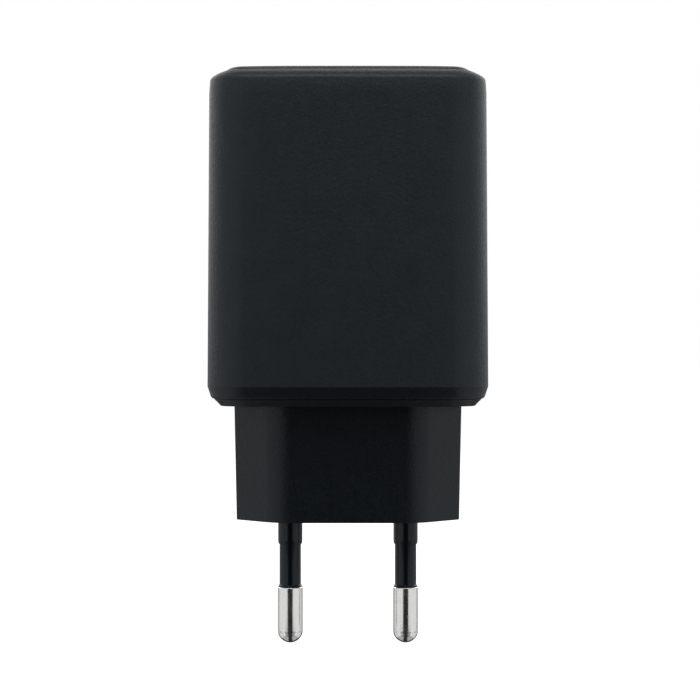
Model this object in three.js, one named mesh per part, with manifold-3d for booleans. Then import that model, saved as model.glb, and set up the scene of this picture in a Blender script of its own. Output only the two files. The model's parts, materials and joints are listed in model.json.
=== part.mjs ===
// A plug-in USB wall charger with a two-pin europlug, as an assembly of its separate pieces.
// Millimetres. Z points up, away from the wall socket; the origin is the centre of the plug's
// engagement face, the pins point down, and the broad faces look along -Y (front) and +Y (back).
import * as THREE from 'three';
import { mergeVertices } from 'three/addons/utils/BufferGeometryUtils.js';
import Module from 'manifold-3d';

const wasm = await Module();
wasm.setup();

// ---- driving dimensions ----
const GAP = 0.2; // clearance between two fitted pieces

const BODY_WIDTH = 43.5; // housing at its widest, along X
const BODY_DEPTH = 28; // housing across its broad faces, along Y
const BODY_CORNER = 7; // radius of the four upright edges
const BODY_BOTTOM = 19.35; // lower rim of the housing above the engagement face
const BODY_TOP = 69.63; // upper rim of the housing
const BODY_TAPER = 0.27; // each narrow side leans in by this much at the top
const WALL = 2.1; // housing wall
const MOUTH_WALL = 2.35; // housing wall round the end panel
const MOUTH_CORNER = 3.2; // inner radius of its upright edges there

const PANEL_TOP = 70.38; // the end panel stands proud of the rim
const PANEL_PLATE = 2.2; // panel thickness
const PANEL_SKIRT = 1.4; // height of the skirt under the panel
const LEDGE_TOP = PANEL_TOP - PANEL_PLATE - PANEL_SKIRT - GAP;

const BOSS_WIDTH = 35.2; // europlug outline at the engagement face
const BOSS_DEPTH = 13.7;
const BOSS_FLAT = 22.2; // length of its two long flats before rounding
const BOSS_END = 2; // width of its two end flats
const BOSS_HEIGHT = 18.2; // engagement face to the shoulder
const BOSS_DRAFT = 0.36; // the outline grows by this much a side up to the shoulder
const BOSS_WALL = 2;
const FACE_WALL = 3; // plastic under the pin heads

const PIN_SPACING = 18.3; // centre to centre
const PIN_RADIUS = 2;
const PIN_LENGTH = 19.55; // tip below the engagement face
const PIN_CORE = 1.2; // radius inside the insulating sleeve
const SLEEVE_LENGTH = 10.8;
const SLEEVE_ROOT = 3.9; // length of the thicker root
const SLEEVE_ROOT_RADIUS = 1.93;
const SLEEVE_RADIUS = 1.7;
const PIN_BORE = 2.15; // hole for the sleeve in the engagement wall
const STUD_RADIUS = 1.3; // upper end of the pin, above its head
const STUD_TOP = 7.5;

const PORT_TOP = 70.05; // mouth of the sockets, just below the panel's face
const USB_A = { x: -8.2, width: 13.1, depth: 5.7, corner: 0.5, sheet: 0.3 };
const USB_C = { x: 9.2, width: 8.94, depth: 3.16, corner: 1.57, sheet: 0.3 };

const BOARD_FRONT = 7.6; // component side of the main board
const BOARD_THICKNESS = 1.2;
const BOARD_BOTTOM = 24.5;
const BOARD_TOP = 64.5;
const BOARD_WIDTH = 36.8;
const SEAT = BOARD_FRONT - 0.3; // the plane that parts on the main board stand on
const PORT_BOARD_BOTTOM = 54.1;
const PORT_BOARD_TOP = 55.1;

const ARC_STEPS = 4; // an arc of an outline is drawn with twice this many chords
const TURN_STEPS = 28; // sides of a turned piece
const SMALL_TURN_STEPS = 20; // sides of a small turned piece

// ---- solids and booleans ----
function solid(geometry) {
  const bare = geometry.clone();
  bare.deleteAttribute('normal');
  bare.deleteAttribute('uv');
  const merged = mergeVertices(bare, 1e-4);
  const corners = merged.index.array;
  const triangles = [];
  for (let i = 0; i < corners.length; i += 3) {
    const [a, b, c] = [corners[i], corners[i + 1], corners[i + 2]];
    if (a !== b && b !== c && c !== a) {
      triangles.push(a, b, c);
    }
  }
  const vertProperties = new Float32Array(merged.attributes.position.array);
  const triVerts = new Uint32Array(triangles);
  return new wasm.Manifold(new wasm.Mesh({ numProp: 3, vertProperties, triVerts }));
}

function surface(manifold) {
  const mesh = manifold.getMesh();
  const geometry = new THREE.BufferGeometry();
  const places = new THREE.BufferAttribute(new Float32Array(mesh.vertProperties), 3);
  geometry.setAttribute('position', places);
  geometry.setIndex(new THREE.BufferAttribute(new Uint32Array(mesh.triVerts), 1));
  const flat = geometry.toNonIndexed();
  flat.computeVertexNormals();
  return flat;
}

function join(first, ...others) {
  return surface(others.reduce((whole, other) => whole.add(solid(other)), solid(first)));
}

function cut(first, ...holes) {
  return surface(holes.reduce((whole, hole) => whole.subtract(solid(hole)), solid(first)));
}

// ---- shapes ----
// A closed outline through [x, y, radius] corners, given anticlockwise, with each corner an arc.
function roundedOutline(corners) {
  const outline = new THREE.Shape();
  corners.forEach(([x, y, radius], i) => {
    const corner = new THREE.Vector2(x, y);
    const before = corners[(i + corners.length - 1) % corners.length];
    const after = corners[(i + 1) % corners.length];
    const arriving = corner.clone().sub(new THREE.Vector2(before[0], before[1])).normalize();
    const leaving = new THREE.Vector2(after[0], after[1]).sub(corner).normalize();
    const turn = Math.acos(THREE.MathUtils.clamp(arriving.dot(leaving), -1, 1));
    const start = corner.clone().addScaledVector(arriving, -radius * Math.tan(turn / 2));
    const inward = new THREE.Vector2(-arriving.y, arriving.x);
    const centre = start.clone().addScaledVector(inward, radius);
    const from = Math.atan2(start.y - centre.y, start.x - centre.x);
    outline.absarc(centre.x, centre.y, radius, from, from + turn, false);
  });
  return outline;
}

function rectangle(width, depth, radius) {
  const x = width / 2;
  const y = depth / 2;
  return roundedOutline([[x, -y, radius], [x, y, radius], [-x, y, radius], [-x, -y, radius]]);
}

// An upright column of the outline from one height to another.
function column(outline, bottom, top, steps = 1) {
  const settings = { depth: top - bottom, steps, bevelEnabled: false, curveSegments: ARC_STEPS };
  return new THREE.ExtrudeGeometry(outline, settings).translate(0, 0, bottom);
}

// An upright block whose outline moves inwards as it rises or falls. Each row of the profile is
// its height, how far the whole outline moves in, how much further the narrow sides lean in, and
// the radius of the upright edges there.
function shapedBlock(width, depth, corner, profile) {
  const rows = profile.length - 1;
  const block = column(rectangle(width, depth, corner), 0, rows, rows);
  const place = block.attributes.position;
  const coreX = width / 2 - corner;
  const coreY = depth / 2 - corner;
  for (let i = 0; i < place.count; i += 1) {
    const [height, inset, lean = 0, round = corner - inset] = profile[Math.round(place.getZ(i))];
    const nearX = THREE.MathUtils.clamp(place.getX(i), -coreX, coreX);
    const nearY = THREE.MathUtils.clamp(place.getY(i), -coreY, coreY);
    const coreShareX = (width / 2 - inset - round) / coreX;
    const coreShareY = (depth / 2 - inset - round) / coreY;
    const x = nearX * coreShareX + ((place.getX(i) - nearX) * round) / corner;
    const y = nearY * coreShareY + ((place.getY(i) - nearY) * round) / corner;
    place.setXYZ(i, x - Math.sign(x) * lean, y, height);
  }
  return block;
}

// A turned solid about Z, from [radius, height] points that rise from axis to axis, or that close.
function turned(profile, steps = TURN_STEPS) {
  const points = profile.map(([radius, height]) => new THREE.Vector2(radius, height));
  return new THREE.LatheGeometry(points, steps).rotateX(Math.PI / 2);
}

function rod(radius, bottom, top, steps = SMALL_TURN_STEPS) {
  return turned([[0, bottom], [radius, bottom], [radius, top], [0, top]], steps);
}

function arc(centreRadius, centreHeight, radius, fromDegrees, toDegrees, steps) {
  const from = THREE.MathUtils.degToRad(fromDegrees);
  const to = THREE.MathUtils.degToRad(toDegrees);
  return Array.from({ length: steps + 1 }, (_, i) => {
    const angle = from + ((to - from) * i) / steps;
    return [centreRadius + radius * Math.cos(angle), centreHeight + radius * Math.sin(angle)];
  });
}

// A box between two corners.
function box(low, high) {
  const size = high.map((value, axis) => value - low[axis]);
  const middle = high.map((value, axis) => (value + low[axis]) / 2);
  return new THREE.BoxGeometry(...size).translate(...middle);
}

// A flat sheet bent along a path of [y, z] points with square corners, `width` wide along X.
function bentStrip(path, thickness, width) {
  const offset = (side) => path.map(([y, z], i) => {
    const before = path[Math.max(i - 1, 0)];
    const after = path[Math.min(i + 1, path.length - 1)];
    const runIn = i > 0 ? [Math.sign(y - before[0]), Math.sign(z - before[1])] : [0, 0];
    const last = i === path.length - 1;
    const runOut = last ? [0, 0] : [Math.sign(after[0] - y), Math.sign(after[1] - z)];
    const along = [runIn[0] || runOut[0], runIn[1] || runOut[1]];
    const half = (side * thickness) / 2;
    return new THREE.Vector2(y - half * along[1], z + half * along[0]);
  });
  const outline = new THREE.Shape([...offset(-1), ...offset(1).reverse()]);
  const sheet = new THREE.ExtrudeGeometry(outline, { depth: width, bevelEnabled: false });
  sheet.rotateY(Math.PI / 2);
  sheet.rotateX(Math.PI / 2);
  return sheet.translate(-width / 2, 0, 0);
}

// ---- materials ----
function finish(color, roughness, metalness = 0) {
  return () => new THREE.MeshStandardMaterial({ color, roughness, metalness });
}

const housingPlastic = finish('#202427', 0.55);
const sleevePlastic = finish('#14171a', 0.3);
const nickel = finish('#d8d9d6', 0.18, 1);
const tin = finish('#b9bcbd', 0.3, 1);
const gold = finish('#d9b25c', 0.25, 1);
const bronze = finish('#b98a4e', 0.35, 1);
const blackNylon = finish('#17181a', 0.5);
const whiteNylon = finish('#d9d7cf', 0.5);
const boardGreen = finish('#1f5a38', 0.45);
const chipEpoxy = finish('#1b1b1d', 0.4);
const ferrite = finish('#37373a', 0.6);
const copper = finish('#b5652f', 0.3, 1);
const yellowTape = finish('#d8b440', 0.4);
const canSleeve = finish('#23272e', 0.35);
const yellowCase = finish('#d9b733', 0.5);
const blueCoat = finish('#2a5e9c', 0.4);
const ceramicTube = finish('#c9bfa9', 0.6);
const aluminium = finish('#b3b6b8', 0.35, 1);
const greyPad = finish('#8b9298', 0.9);
const clearFilm = finish('#d7d9d2', 0.3);

// ---- assembly ----
const charger = new THREE.Group();

function add(name, geometry, material, place = [0, 0, 0]) {
  const mesh = new THREE.Mesh(geometry, material());
  mesh.name = name;
  mesh.position.set(...place);
  charger.add(mesh);
}

const SIDES = { left: -1, right: 1 };
const INNER_WIDTH = BODY_WIDTH - 2 * BODY_TAPER - 2 * WALL;
const INNER_DEPTH = BODY_DEPTH - 2 * WALL;
const INNER_CORNER = BODY_CORNER - WALL;
const MOUTH_WIDTH = BODY_WIDTH - 2 * BODY_TAPER - 2 * MOUTH_WALL;
const MOUTH_DEPTH = BODY_DEPTH - 2 * MOUTH_WALL;

// The housing sleeve, open at both ends, with a ledge for the end panel and rails for the board.
function makeShell() {
  const rim = [[1.7, 0.15], [1.15, 0.38], [0.6, 1.01], [0, 2.25]];
  const cornerAt = (inset) => BODY_CORNER - ((BODY_CORNER - MOUTH_CORNER) * inset) / MOUTH_WALL;
  const profile = [
    [BODY_BOTTOM, 0.85],
    [BODY_BOTTOM + 0.15, 0.58],
    [BODY_BOTTOM + 0.4, 0.45],
    [BODY_BOTTOM + 1.85, 0],
    [BODY_TOP - 4, 0, BODY_TAPER],
    ...rim.map(([down, inset]) => [BODY_TOP - down, inset, BODY_TAPER, cornerAt(inset)]),
  ];
  const outside = shapedBlock(BODY_WIDTH, BODY_DEPTH, BODY_CORNER, profile);
  const inside = rectangle(INNER_WIDTH, INNER_DEPTH, INNER_CORNER);
  const ledgeReach = 0.9;
  const ledgeHole = rectangle(
    INNER_WIDTH - 2 * ledgeReach,
    INNER_DEPTH - 2 * ledgeReach,
    INNER_CORNER - ledgeReach,
  );
  const ledgeBottom = LEDGE_TOP - 1;
  const sleeve = cut(
    outside,
    column(inside, BODY_BOTTOM - 1, ledgeBottom),
    column(ledgeHole, ledgeBottom - 1, LEDGE_TOP + 1),
    column(rectangle(MOUTH_WIDTH, MOUTH_DEPTH, MOUTH_CORNER), LEDGE_TOP, BODY_TOP + 1),
  );
  const railDepth = 0.8;
  const railReach = 1.7;
  const railFaces = [
    BOARD_FRONT - GAP - railDepth,
    BOARD_FRONT + BOARD_THICKNESS + GAP,
  ];
  const rails = Object.values(SIDES).flatMap((side) => railFaces.map((front) => {
    const wall = side * (INNER_WIDTH / 2 + 0.4);
    const edge = side * (INNER_WIDTH / 2 - railReach);
    const low = [Math.min(wall, edge), front, BOARD_BOTTOM + 1.5];
    const high = [Math.max(wall, edge), front + railDepth, BOARD_TOP - 1];
    return box(low, high);
  }));
  return join(sleeve, ...rails);
}

// The end panel: a raised plate with a skirt that stands on the shell's ledge.
function makePortPanel() {
  const width = MOUTH_WIDTH - 2 * GAP;
  const depth = MOUTH_DEPTH - 2 * GAP;
  const corner = MOUTH_CORNER - GAP;
  const skirtWall = 1.5;
  const skirtBottom = PANEL_TOP - PANEL_PLATE - PANEL_SKIRT;
  const plate = shapedBlock(width, depth, corner, [
    [skirtBottom, 0],
    [PANEL_TOP - 0.7, 0],
    [PANEL_TOP - 0.37, 0.49],
    [PANEL_TOP - 0.13, 1.06],
    [PANEL_TOP, 1.93],
  ]);
  const hollow = rectangle(width - 2 * skirtWall, depth - 2 * skirtWall, corner - skirtWall);
  const windows = [USB_A, USB_C].map((port) => {
    const outline = rectangle(port.width + 2 * GAP, port.depth + 2 * GAP, port.corner + GAP);
    return column(outline, skirtBottom - 1, PANEL_TOP + 1).translate(port.x, 0, 0);
  });
  return cut(plate, column(hollow, skirtBottom - 1, PANEL_TOP - PANEL_PLATE), ...windows);
}

// The europlug's six-sided outline, moved in by `inset`.
function bossOutline(inset, frontRadius, endRadius) {
  const slope = Math.atan2(BOSS_DEPTH - BOSS_END, BOSS_WIDTH - BOSS_FLAT);
  const x = BOSS_WIDTH / 2 - inset;
  const y = BOSS_DEPTH / 2 - inset;
  const flat = BOSS_FLAT / 2 - inset * Math.tan(slope / 2);
  const end = BOSS_END / 2 - inset * Math.tan(Math.PI / 4 - slope / 2);
  return roundedOutline([
    [flat, -y, frontRadius],
    [x, -end, endRadius],
    [x, end, endRadius],
    [flat, y, frontRadius],
    [-flat, y, frontRadius],
    [-x, end, endRadius],
    [-x, -end, endRadius],
    [-flat, -y, frontRadius],
  ]);
}

// The base: shoulder band, plug boss with its engagement wall, and the spigot inside the shell.
function makePlugBase() {
  const plateTop = 20.7;
  const spigotTop = 24;
  const spigotWall = 1.5;
  const boss = column(bossOutline(0, 6, 0.4), 0, BOSS_HEIGHT + 0.5);
  const place = boss.attributes.position;
  for (let i = 0; i < place.count; i += 1) {
    const rise = Math.min(place.getZ(i) / BOSS_HEIGHT, 1);
    const growX = 1 + (BOSS_DRAFT * rise) / (BOSS_WIDTH / 2);
    const growY = 1 + (BOSS_DRAFT * rise) / (BOSS_DEPTH / 2);
    place.setXYZ(i, place.getX(i) * growX, place.getY(i) * growY, place.getZ(i));
  }
  const shoulder = shapedBlock(BODY_WIDTH, BODY_DEPTH, BODY_CORNER, [
    [BOSS_HEIGHT, 1.95],
    [BOSS_HEIGHT + 0.15, 1.72],
    [BODY_BOTTOM - GAP, 1.2],
  ]);
  const spigotWidth = INNER_WIDTH - 2 * GAP;
  const spigotDepth = INNER_DEPTH - 2 * GAP;
  const spigotCorner = INNER_CORNER - GAP;
  const spigot = column(
    rectangle(spigotWidth, spigotDepth, spigotCorner),
    BOSS_HEIGHT + 0.5,
    spigotTop,
  );
  const spigotInside = rectangle(
    spigotWidth - 2 * spigotWall,
    spigotDepth - 2 * spigotWall,
    spigotCorner - spigotWall,
  );
  const bores = Object.values(SIDES).map((side) => {
    return rod(PIN_BORE, -1, FACE_WALL + 1).translate((side * PIN_SPACING) / 2, 0, 0);
  });
  const blank = join(boss, shoulder, spigot);
  return cut(
    blank,
    column(spigotInside, plateTop, spigotTop + 1),
    column(bossOutline(BOSS_WALL, 4, 0.04), FACE_WALL, plateTop + 1),
    ...bores,
  );
}

// One plug pin: ball end, full-size end, slimmer core in the sleeve, head and upper stud.
function makePin() {
  const headRadius = 2.9;
  const headBottom = FACE_WALL + GAP;
  const headTop = headBottom + 1.2;
  return turned([
    ...arc(0, -PIN_LENGTH + PIN_RADIUS, PIN_RADIUS, -90, 0, 7),
    [PIN_RADIUS, -SLEEVE_LENGTH - 0.15],
    [PIN_RADIUS - 0.15, -SLEEVE_LENGTH],
    [PIN_CORE, -SLEEVE_LENGTH],
    [PIN_CORE, headBottom],
    [headRadius, headBottom],
    [headRadius, headTop],
    [STUD_RADIUS, headTop],
    [STUD_RADIUS, STUD_TOP - 0.3],
    [STUD_RADIUS - 0.3, STUD_TOP],
    [0, STUD_TOP],
  ]);
}

// The insulating sleeve: a thin tube with a thicker root and a small lip at the metal.
function makePinSleeve() {
  const bore = PIN_CORE + 0.12;
  const bottom = -SLEEVE_LENGTH + 0.12;
  const top = FACE_WALL - 0.3;
  const lipRadius = SLEEVE_RADIUS + 0.14;
  return turned([
    [bore, bottom],
    [lipRadius, bottom],
    [lipRadius, bottom + 0.12],
    [SLEEVE_RADIUS, bottom + 0.3],
    [SLEEVE_RADIUS, -SLEEVE_ROOT],
    [SLEEVE_ROOT_RADIUS - 0.1, -SLEEVE_ROOT],
    [SLEEVE_ROOT_RADIUS, -SLEEVE_ROOT + 0.25],
    [SLEEVE_ROOT_RADIUS, top],
    [bore, top],
    [bore, bottom],
  ]);
}

function makePinRetainer() {
  const plate = roundedOutline([
    [9.6, -4.3, 1],
    [14, -0.8, 0.5],
    [14, 0.8, 0.5],
    [9.6, 4.3, 1],
    [-9.6, 4.3, 1],
    [-14, 0.8, 0.5],
    [-14, -0.8, 0.5],
    [-9.6, -4.3, 1],
  ]);
  const bottom = FACE_WALL + 1.7;
  const holes = Object.values(SIDES).map((side) => {
    return rod(STUD_RADIUS + 0.4, 0, 10).translate((side * PIN_SPACING) / 2, 0, 0);
  });
  return cut(column(plate, bottom, bottom + 1.6), ...holes);
}

// A leaf contact that bears on the pin's stud and is soldered to the front of the main board.
function makeContactSpring() {
  const thickness = 0.4;
  const foot = STUD_TOP + GAP + thickness / 2;
  const arm = 21.7;
  const path = [
    [-1.6, foot],
    [2.6, foot],
    [2.6, arm],
    [BOARD_FRONT - 0.45, arm],
    [BOARD_FRONT - 0.45, BOARD_BOTTOM + 3.5],
  ];
  return bentStrip(path, thickness, 3);
}

add('shell', makeShell(), housingPlastic);
add('port_panel', makePortPanel(), housingPlastic);
add('plug_base', makePlugBase(), housingPlastic);
add('pin_retainer', makePinRetainer(), blackNylon);
for (const [name, side] of Object.entries(SIDES)) {
  const place = [(side * PIN_SPACING) / 2, 0, 0];
  add(`pin_${name}`, makePin(), nickel, place);
  add(`pin_sleeve_${name}`, makePinSleeve(), sleevePlastic, place);
  add(`contact_spring_${name}`, makeContactSpring(), bronze, place);
}

// ---- sockets ----
function makePortShell(port) {
  const outside = rectangle(port.width, port.depth, port.corner);
  const inside = rectangle(
    port.width - 2 * port.sheet,
    port.depth - 2 * port.sheet,
    port.corner - port.sheet,
  );
  const bottom = PORT_BOARD_TOP + GAP;
  return cut(
    column(outside, bottom, PORT_TOP),
    column(inside, bottom + port.sheet, PORT_TOP + 1),
  ).translate(port.x, 0, 0);
}

const USB_A_TONGUE = { width: 11.1, depth: 1.84, offset: 0.6, top: PORT_TOP - 1.2 };
const USB_C_TONGUE = { width: 6.7, depth: 0.7, top: PORT_TOP - 0.9 };
const SOCKET_FLOOR = PORT_BOARD_TOP + GAP + 0.3 + GAP;

function makeUsbATongue() {
  const { width, depth, offset, top } = USB_A_TONGUE;
  const base = box([-6, -2.3, SOCKET_FLOOR], [6, 2.3, SOCKET_FLOOR + 4]);
  const tongue = shapedBlock(width, depth, 0.3, [
    [SOCKET_FLOOR + 1, 0],
    [top - 0.25, 0],
    [top, 0.2],
  ]).translate(0, offset, 0);
  return join(base, tongue).translate(USB_A.x, 0, 0);
}

function makeUsbAContact(x) {
  const face = USB_A_TONGUE.offset - USB_A_TONGUE.depth / 2;
  const low = [USB_A.x + x - 0.6, face - 0.35, SOCKET_FLOOR + 4.2];
  const high = [USB_A.x + x + 0.6, face - 0.1, USB_A_TONGUE.top - 0.8];
  return box(low, high);
}

function makeUsbCTongue() {
  const base = column(rectangle(7.8, 2.2, 1), SOCKET_FLOOR, PORT_TOP - 6.5);
  const rearBlock = box([-3.7, -0.9, PORT_TOP - 7], [3.7, 0.9, PORT_TOP - 5.4]);
  const tongue = shapedBlock(USB_C_TONGUE.width, USB_C_TONGUE.depth, 0.25, [
    [PORT_TOP - 6, 0],
    [USB_C_TONGUE.top - 0.2, 0],
    [USB_C_TONGUE.top, 0.15],
  ]);
  return join(base, rearBlock, tongue).translate(USB_C.x, 0, 0);
}

// One row of contact strips, joined behind by the strip they were stamped from.
function makeUsbCContacts() {
  const count = 12;
  const pitch = 0.5;
  const front = -USB_C_TONGUE.depth / 2 - 0.25;
  const back = -USB_C_TONGUE.depth / 2 - 0.08;
  const bottom = PORT_TOP - 5.2;
  const carrier = box([-3, front, bottom], [3, back, bottom + 0.3]);
  const strips = Array.from({ length: count }, (_, i) => {
    const x = (i - (count - 1) / 2) * pitch;
    return box([x - 0.12, front, bottom + 0.1], [x + 0.12, back, USB_C_TONGUE.top - 0.4]);
  });
  return join(carrier, ...strips).translate(USB_C.x, 0, 0);
}

add('usb_a_shell', makePortShell(USB_A), tin);
add('usb_a_tongue', makeUsbATongue(), blackNylon);
[-3.5, -1, 1, 3.5].forEach((x, i) => {
  add(`usb_a_contact_${i + 1}`, makeUsbAContact(x), gold);
});
add('usb_c_shell', makePortShell(USB_C), tin);
add('usb_c_tongue', makeUsbCTongue(), blackNylon);
add('usb_c_contacts', makeUsbCContacts(), gold);

// ---- boards ----
function makeMainBoard() {
  const half = BOARD_WIDTH / 2;
  const low = [-half, BOARD_FRONT, BOARD_BOTTOM];
  const high = [half, BOARD_FRONT + BOARD_THICKNESS, BOARD_TOP];
  return box(low, high);
}

const HEADER_PIN_XS = Array.from({ length: 5 }, (_, i) => (i - 2) * 2.54);
const HEADER_Y = 5.4;

function makePortBoard() {
  const plate = box([-17.2, -10.9, PORT_BOARD_BOTTOM], [17.2, SEAT, PORT_BOARD_TOP]);
  const holes = HEADER_PIN_XS.map((x) => {
    return rod(0.55, PORT_BOARD_BOTTOM - 1, PORT_BOARD_TOP + 1, 10).translate(x, HEADER_Y, 0);
  });
  return cut(plate, ...holes);
}

function makeBoardHeader() {
  const top = PORT_BOARD_BOTTOM - GAP;
  const body = box([-6.4, HEADER_Y - 1.25, top - 2.5], [6.4, HEADER_Y + 1.25, top]);
  const pins = HEADER_PIN_XS.map((x) => {
    return rod(0.3, top - 1, PORT_BOARD_TOP + 0.6, 8).translate(x, HEADER_Y, 0);
  });
  return join(body, ...pins);
}

add('main_board', makeMainBoard(), boardGreen);
add('port_board', makePortBoard(), boardGreen);
add('board_header', makeBoardHeader(), blackNylon);

// ---- mains side ----
// A fuse tube lying along X with a cap at each end.
function makeFuse() {
  const half = 4.6;
  return turned([
    [0, -half],
    [2.1, -half],
    [2.1, -half + 1.6],
    [1.85, -half + 1.8],
    [1.85, half - 1.8],
    [2.1, half - 1.6],
    [2.1, half],
    [0, half],
  ], SMALL_TURN_STEPS).rotateY(Math.PI / 2);
}

// A coated disc, thick in the middle and rounded at its rim, with its axis along X.
function makeCoatedDisc(radius, thickness) {
  const rim = thickness / 2;
  return turned([
    [0, -rim],
    ...arc(radius - rim, 0, rim, -90, 90, 6),
    [0, rim],
  ], SMALL_TURN_STEPS).rotateY(Math.PI / 2);
}

function makeFilterChokeCore() {
  return turned([
    [0, 0],
    [4.2, 0],
    [4.2, 1],
    [1.7, 1],
    [1.7, 6.2],
    [4.2, 6.2],
    [4.2, 7.2],
    [0, 7.2],
  ], SMALL_TURN_STEPS).rotateX(Math.PI / 2);
}

function makeFilterChokeWinding() {
  return turned([
    [1.9, 1.2],
    [3.8, 1.2],
    [4, 1.6],
    [4, 5.6],
    [3.8, 6],
    [1.9, 6],
    [1.9, 1.2],
  ], SMALL_TURN_STEPS).rotateX(Math.PI / 2);
}

// An electrolytic can with its crimped neck and rolled edges, standing on z = 0.
function makeCan(radius, height) {
  const neck = radius * 0.08;
  return turned([
    [0, 0],
    [radius - 0.4, 0],
    [radius, 0.4],
    [radius, 1.2],
    [radius - neck, 1.6],
    [radius - neck, 1.9],
    [radius, 2.3],
    [radius, height - 0.5],
    [radius - 0.5, height],
    [0, height],
  ], SMALL_TURN_STEPS);
}

// A moulded block seated on the main board, given by its middle and its size in X and Z.
function seatedBlock(x, z, width, height, depth) {
  const low = [x - width / 2, SEAT - depth, z - height / 2];
  const high = [x + width / 2, SEAT, z + height / 2];
  return box(low, high);
}

// A chip on the solder side of the main board.
function solderSideChip(x, z, width, height) {
  const back = BOARD_FRONT + BOARD_THICKNESS + GAP;
  return box([x - width / 2, back, z - height / 2], [x + width / 2, back + 1.4, z + height / 2]);
}

const CAN_BOTTOM = 38.4;
add('fuse', makeFuse(), ceramicTube, [0, SEAT - 2.2, 27.4]);
add('varistor', makeCoatedDisc(3.9, 3.4), blueCoat, [13.8, SEAT - 4.1, 34.2]);
add('x_capacitor', seatedBlock(0, 34, 13, 6, 11.5), yellowCase);
add('filter_choke_core', makeFilterChokeCore(), ferrite, [-13, SEAT, 32.4]);
add('filter_choke_winding', makeFilterChokeWinding(), copper, [-13, SEAT, 32.4]);
add('bridge_rectifier', seatedBlock(14, 27.6, 5, 4.2, 1.6), chipEpoxy);
add('bulk_capacitor_1', makeCan(4, 15), canSleeve, [-13.4, 3.1, CAN_BOTTOM]);
add('bulk_capacitor_2', makeCan(4, 15), canSleeve, [-13.4, -5.6, CAN_BOTTOM]);
add('power_switch', solderSideChip(-5, 42, 6, 5), chipEpoxy);

// ---- transformer ----
const CORE = { width: 16, depth: 5.5, half: 7, back: 2, leg: 2, centre: 4, y: 0.4, z: 46 };

// One E-shaped ferrite half; the upper half is the same piece turned over.
function makeCoreHalf() {
  const gap = 0.05;
  const { width, half, back, leg, centre } = CORE;
  const [outer, tip] = [width / 2, half - gap];
  const outline = new THREE.Shape([
    new THREE.Vector2(-outer, 0),
    new THREE.Vector2(outer, 0),
    new THREE.Vector2(outer, tip),
    new THREE.Vector2(outer - leg, tip),
    new THREE.Vector2(outer - leg, back),
    new THREE.Vector2(centre / 2, back),
    new THREE.Vector2(centre / 2, tip),
    new THREE.Vector2(-centre / 2, tip),
    new THREE.Vector2(-centre / 2, back),
    new THREE.Vector2(leg - outer, back),
    new THREE.Vector2(leg - outer, tip),
    new THREE.Vector2(-outer, tip),
  ]);
  const half3d = new THREE.ExtrudeGeometry(outline, { depth: CORE.depth, bevelEnabled: false });
  return half3d.rotateX(Math.PI / 2).translate(0, CORE.depth / 2, -half);
}

function makeBobbin() {
  const wall = 0.8;
  const length = 4.7;
  const holeX = CORE.centre / 2 + GAP;
  const holeY = CORE.depth / 2 + GAP;
  const tube = box([-holeX - wall, -holeY - wall, -length], [holeX + wall, holeY + wall, length]);
  const flangeBack = SEAT - 0.1 - CORE.y;
  const flanges = [-length, length - wall].map((bottom) => {
    return box([-5.7, -6.3, bottom], [5.7, flangeBack, bottom + wall]);
  });
  const hole = box([-holeX, -holeY, -length - 1], [holeX, holeY, length + 1]);
  return cut(join(tube, ...flanges), hole);
}

function makeWinding() {
  const inside = rectangle(6.4, 7.9, 0.2);
  const outside = rectangle(11, 11.8, 2);
  return cut(column(outside, -3.6, 3.6), column(inside, -4, 4));
}

// A band of tape round the outside of the two core halves.
function makeTape() {
  const inside = rectangle(CORE.width + 0.4, 2 * CORE.half + 0.4, 0.4);
  const outside = rectangle(CORE.width + 1, 2 * CORE.half + 1, 0.7);
  return cut(column(outside, -2, 2), column(inside, -3, 3)).rotateX(Math.PI / 2);
}

const coreCentre = [0, CORE.y, CORE.z];
add('transformer_core_lower', makeCoreHalf(), ferrite, coreCentre);
add('transformer_core_upper', makeCoreHalf().rotateY(Math.PI), ferrite, coreCentre);
add('transformer_bobbin', makeBobbin(), blackNylon, coreCentre);
add('transformer_winding', makeWinding(), copper, coreCentre);
add('transformer_tape', makeTape(), yellowTape, coreCentre);

// ---- low-voltage side ----
add('y_capacitor', makeCoatedDisc(3.6, 2.8), blueCoat, [12.4, SEAT - 3.8, 43]);
add('optocoupler', seatedBlock(13.5, 50.6, 6.5, 4.6, 3.4), whiteNylon);
add('sync_rectifier', solderSideChip(8, 56, 5, 6), chipEpoxy);
add('output_capacitor_1', makeCan(3.2, 7.4), aluminium, [13.6, -5.4, CAN_BOTTOM]);
add('output_capacitor_2', makeCan(3.2, 7.4), aluminium, [13.6, -5.4, CAN_BOTTOM + 7.8]);
const chipBottom = PORT_BOARD_TOP + GAP;
add('charge_controller', box([-0.8, -9, chipBottom], [3.4, -4.8, chipBottom + 1]), chipEpoxy);

// ---- heat and insulation ----
const SPREADER_FRONT = 1 - INNER_DEPTH / 2;
add('heat_spreader', box([-16, SPREADER_FRONT, 25], [16, SPREADER_FRONT + 0.8, 53.4]), aluminium);
add('thermal_pad', box([-5.5, SPREADER_FRONT + 1, 40], [5.5, CORE.y - 6.6, 52]), greyPad);
add('insulation_sheet', box([-14, 11.2, BOARD_BOTTOM + 0.5], [14, 11.5, BOARD_TOP]), clearFilm);

export default charger;
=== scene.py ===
import json
import math

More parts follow.
